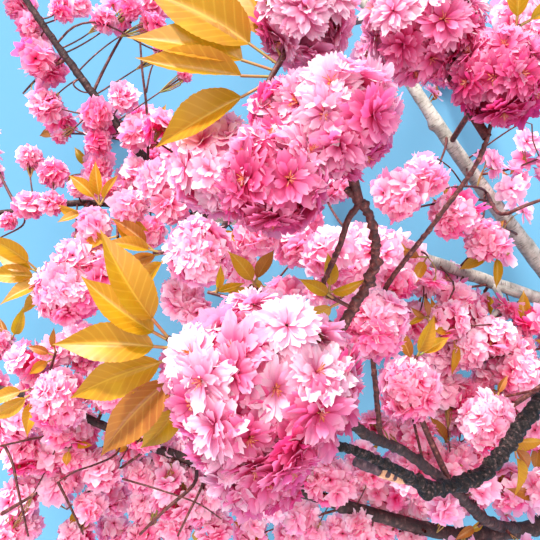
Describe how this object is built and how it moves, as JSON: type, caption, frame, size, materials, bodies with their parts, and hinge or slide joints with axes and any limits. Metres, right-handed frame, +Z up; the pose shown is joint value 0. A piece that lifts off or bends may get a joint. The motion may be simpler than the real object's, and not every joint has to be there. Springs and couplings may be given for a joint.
{
  "type": "flowering cherry bough",
  "caption": "Cut bough of a double pink flowering cherry: forked limbs and twigs with round blossom heads, small clusters and young bronze leaves, lying on its side.",
  "frame": {"origin": "middle of the bounding box, at the level of the surface the bough lies on", "axes": "+X along the length of the bough towards its cut end, +Z up from the surface"},
  "size_m": [1.2253, 0.9871, 0.7996],
  "materials": {
    "bark_pale": "smooth grey-brown bark",
    "bark_dark": "rough dark bark",
    "blossom": "matt petals and leaves"
  },
  "bodies": {
    "root": {"bloom_corner": "blossom", "bloom_far_right": "blossom", "bloom_front_high": "blossom", "bloom_front_low": "blossom", "bloom_left": "blossom", "bloom_left_high": "blossom", "bloom_low_left": "blossom", "bloom_low_right": "blossom", "bloom_right": "blossom", "bloom_top": "blossom", "bloom_top_right": "blossom", "bloom_white": "blossom", "cross_bough": "bark_pale", "front_bough": "bark_dark", "high_twig": "bark_dark", "left_bough": "bark_dark", "low_bough": "bark_dark", "main_limb": "bark_pale", "middle_bough": "bark_dark", "right_twig": "bark_dark", "rising_bough": "bark_dark", "spray_centre_a": "blossom", "spray_centre_b": "blossom", "spray_centre_c": "blossom", "spray_left_a": "blossom", "spray_left_b": "blossom", "spray_left_c": "blossom", "spray_low_a": "blossom", "spray_low_b": "blossom", "spray_low_c": "blossom", "spray_low_left_a": "blossom", "spray_low_left_b": "blossom", "spray_low_left_c": "blossom", "spray_low_left_d": "blossom", "spray_low_right_a": "blossom", "spray_low_right_b": "blossom", "spray_right_a": "blossom", "spray_right_b": "blossom", "spray_right_c": "blossom", "spray_right_d": "blossom", "spray_right_e": "blossom", "spray_right_f": "blossom", "spray_right_g": "blossom", "spray_right_h": "blossom", "spray_top_a": "blossom", "spray_top_b": "blossom", "spray_under_far_left": "blossom", "spray_under_left": "blossom", "spray_under_middle": "blossom", "spray_under_top": "blossom", "spray_upper_left_a": "blossom", "spray_upper_left_b": "blossom", "spray_upper_left_c": "blossom", "spray_upper_left_d": "blossom", "upper_left_bough": "bark_dark", "upper_right_bough": "bark_pale"}
  },
  "joints": []
}
